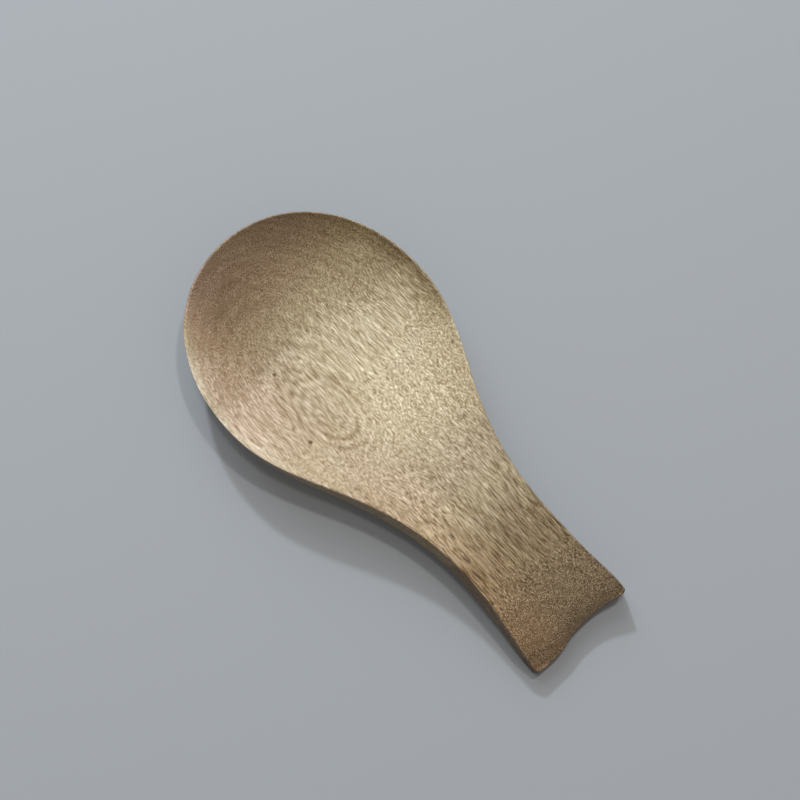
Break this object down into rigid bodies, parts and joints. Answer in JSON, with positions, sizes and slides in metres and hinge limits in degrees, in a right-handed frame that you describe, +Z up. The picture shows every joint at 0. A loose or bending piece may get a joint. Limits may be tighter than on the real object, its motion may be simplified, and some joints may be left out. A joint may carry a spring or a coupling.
{
  "type": "spoon rest",
  "caption": "Wooden spoon rest carved from one board: a shallow oval bowl with a rounded rim that narrows into an arched handle with a forked end.",
  "frame": {"origin": "on the table, under the middle of the length and width", "axes": "+X along the axis from the bowl to the forked end, +Y across, +Z up"},
  "size_m": [0.215, 0.1038, 0.022],
  "materials": {
    "hardwood": "sanded and lightly oiled, open pores"
  },
  "bodies": {
    "root": {"carved_body": "hardwood"}
  },
  "joints": []
}
